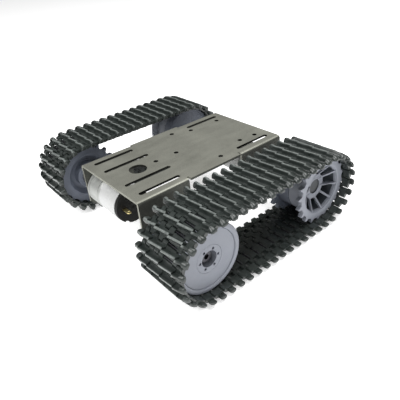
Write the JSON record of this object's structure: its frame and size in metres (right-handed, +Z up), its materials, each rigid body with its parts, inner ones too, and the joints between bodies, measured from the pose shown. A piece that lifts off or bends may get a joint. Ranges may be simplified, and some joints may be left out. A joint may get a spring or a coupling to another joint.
{
  "type": "tracked robot chassis",
  "caption": "Tracked robot chassis: bent metal plate on two gear motors, with toothed drive wheels and smooth idlers carrying hinged plastic tracks.",
  "frame": {"origin": "on the ground under the middle of the chassis plate", "axes": "+X forward, to the end with the large cable hole; +Y left, along the wheel axles; +Z up"},
  "size_m": [0.1488, 0.179, 0.0531],
  "materials": {
    "plate": "fine sandblasted, anodised warm grey",
    "wheel_plastic": "satin moulded plastic, light blue grey",
    "track_black": "satin moulded plastic",
    "motor_silver": "plated steel, satin",
    "label": "printed film, left blank",
    "cap_black": "satin moulded plastic",
    "brass": "plain",
    "rotor": "lacquered laminations and windings",
    "turned_metal": "turned",
    "bearing_steel": "ground",
    "fastener_steel": "plain"
  },
  "bodies": {
    "chassis": {"chassis_plate": "plate", "gearbox_plate_left": "motor_silver", "gearbox_housing_left": "motor_silver", "motor_can_left": "motor_silver", "motor_label_left": "label", "motor_rear_cap_left": "cap_black", "motor_terminal_a_left": "brass", "motor_terminal_b_left": "brass", "motor_screw_a_left": "fastener_steel", "motor_screw_b_left": "fastener_steel", "idler_axle_bolt_left": "fastener_steel", "idler_axle_spacer_left": "turned_metal", "idler_axle_washer_left": "fastener_steel", "idler_axle_nut_left": "fastener_steel", "track_left": "track_black", "gearbox_plate_right": "motor_silver", "gearbox_housing_right": "motor_silver", "motor_can_right": "motor_silver", "motor_label_right": "label", "motor_rear_cap_right": "cap_black", "motor_terminal_a_right": "brass", "motor_terminal_b_right": "brass", "motor_screw_a_right": "fastener_steel", "motor_screw_b_right": "fastener_steel", "idler_axle_bolt_right": "fastener_steel", "idler_axle_spacer_right": "turned_metal", "idler_axle_washer_right": "fastener_steel", "idler_axle_nut_right": "fastener_steel", "track_right": "track_black"},
    "drive_wheel_left": {"sprocket_outer_half_left": "wheel_plastic", "sprocket_inner_half_left": "wheel_plastic", "drive_coupling_left": "turned_metal", "coupling_set_screw_left": "fastener_steel", "sprocket_screw_left": "fastener_steel", "output_shaft_left": "fastener_steel", "output_gear_left": "brass"},
    "idler_wheel_left": {"idler_outer_half_left": "wheel_plastic", "idler_inner_half_left": "wheel_plastic", "idler_bearing_outer_left": "bearing_steel", "idler_bearing_inner_left": "bearing_steel"},
    "compound_gear_left": {"compound_gear_left": "brass"},
    "motor_rotor_left": {"motor_rotor_left": "rotor"},
    "drive_wheel_right": {"sprocket_outer_half_right": "wheel_plastic", "sprocket_inner_half_right": "wheel_plastic", "drive_coupling_right": "turned_metal", "coupling_set_screw_right": "fastener_steel", "sprocket_screw_right": "fastener_steel", "output_shaft_right": "fastener_steel", "output_gear_right": "brass"},
    "idler_wheel_right": {"idler_outer_half_right": "wheel_plastic", "idler_inner_half_right": "wheel_plastic", "idler_bearing_outer_right": "bearing_steel", "idler_bearing_inner_right": "bearing_steel"},
    "compound_gear_right": {"compound_gear_right": "brass"},
    "motor_rotor_right": {"motor_rotor_right": "rotor"}
  },
  "joints": [
    {"name": "drive_spin_left", "type": "hinge", "parent": "chassis", "child": "drive_wheel_left", "pos_m": [-0.048, 0.06825, 0.02656], "axis": [0, 1, 0], "continuous": true},
    {"name": "idler_spin_left", "type": "hinge", "parent": "chassis", "child": "idler_wheel_left", "pos_m": [0.048, 0.06825, 0.02656], "axis": [0, 1, 0], "continuous": true},
    {"name": "compound_gear_spin_left", "type": "hinge", "parent": "chassis", "child": "compound_gear_left", "pos_m": [-0.048, 0.025, 0.02096], "axis": [0, 1, 0], "continuous": true},
    {"name": "rotor_spin_left", "type": "hinge", "parent": "chassis", "child": "motor_rotor_left", "pos_m": [-0.048, 0, 0.02656], "axis": [0, 1, 0], "continuous": true},
    {"name": "drive_spin_right", "type": "hinge", "parent": "chassis", "child": "drive_wheel_right", "pos_m": [0.048, -0.06825, 0.02656], "axis": [0, 1, 0], "continuous": true},
    {"name": "idler_spin_right", "type": "hinge", "parent": "chassis", "child": "idler_wheel_right", "pos_m": [-0.048, -0.06825, 0.02656], "axis": [0, 1, 0], "continuous": true},
    {"name": "compound_gear_spin_right", "type": "hinge", "parent": "chassis", "child": "compound_gear_right", "pos_m": [0.048, -0.025, 0.02096], "axis": [0, 1, 0], "continuous": true},
    {"name": "rotor_spin_right", "type": "hinge", "parent": "chassis", "child": "motor_rotor_right", "pos_m": [0.048, 0, 0.02656], "axis": [0, 1, 0], "continuous": true}
  ],
  "couplings": [
    {"joint": "idler_spin_left", "follows": "drive_spin_left", "ratio": 1},
    {"joint": "compound_gear_spin_left", "follows": "drive_spin_left", "ratio": -2.5},
    {"joint": "rotor_spin_left", "follows": "drive_spin_left", "ratio": 6.25},
    {"joint": "idler_spin_right", "follows": "drive_spin_right", "ratio": 1},
    {"joint": "compound_gear_spin_right", "follows": "drive_spin_right", "ratio": -2.5},
    {"joint": "rotor_spin_right", "follows": "drive_spin_right", "ratio": 6.25}
  ]
}
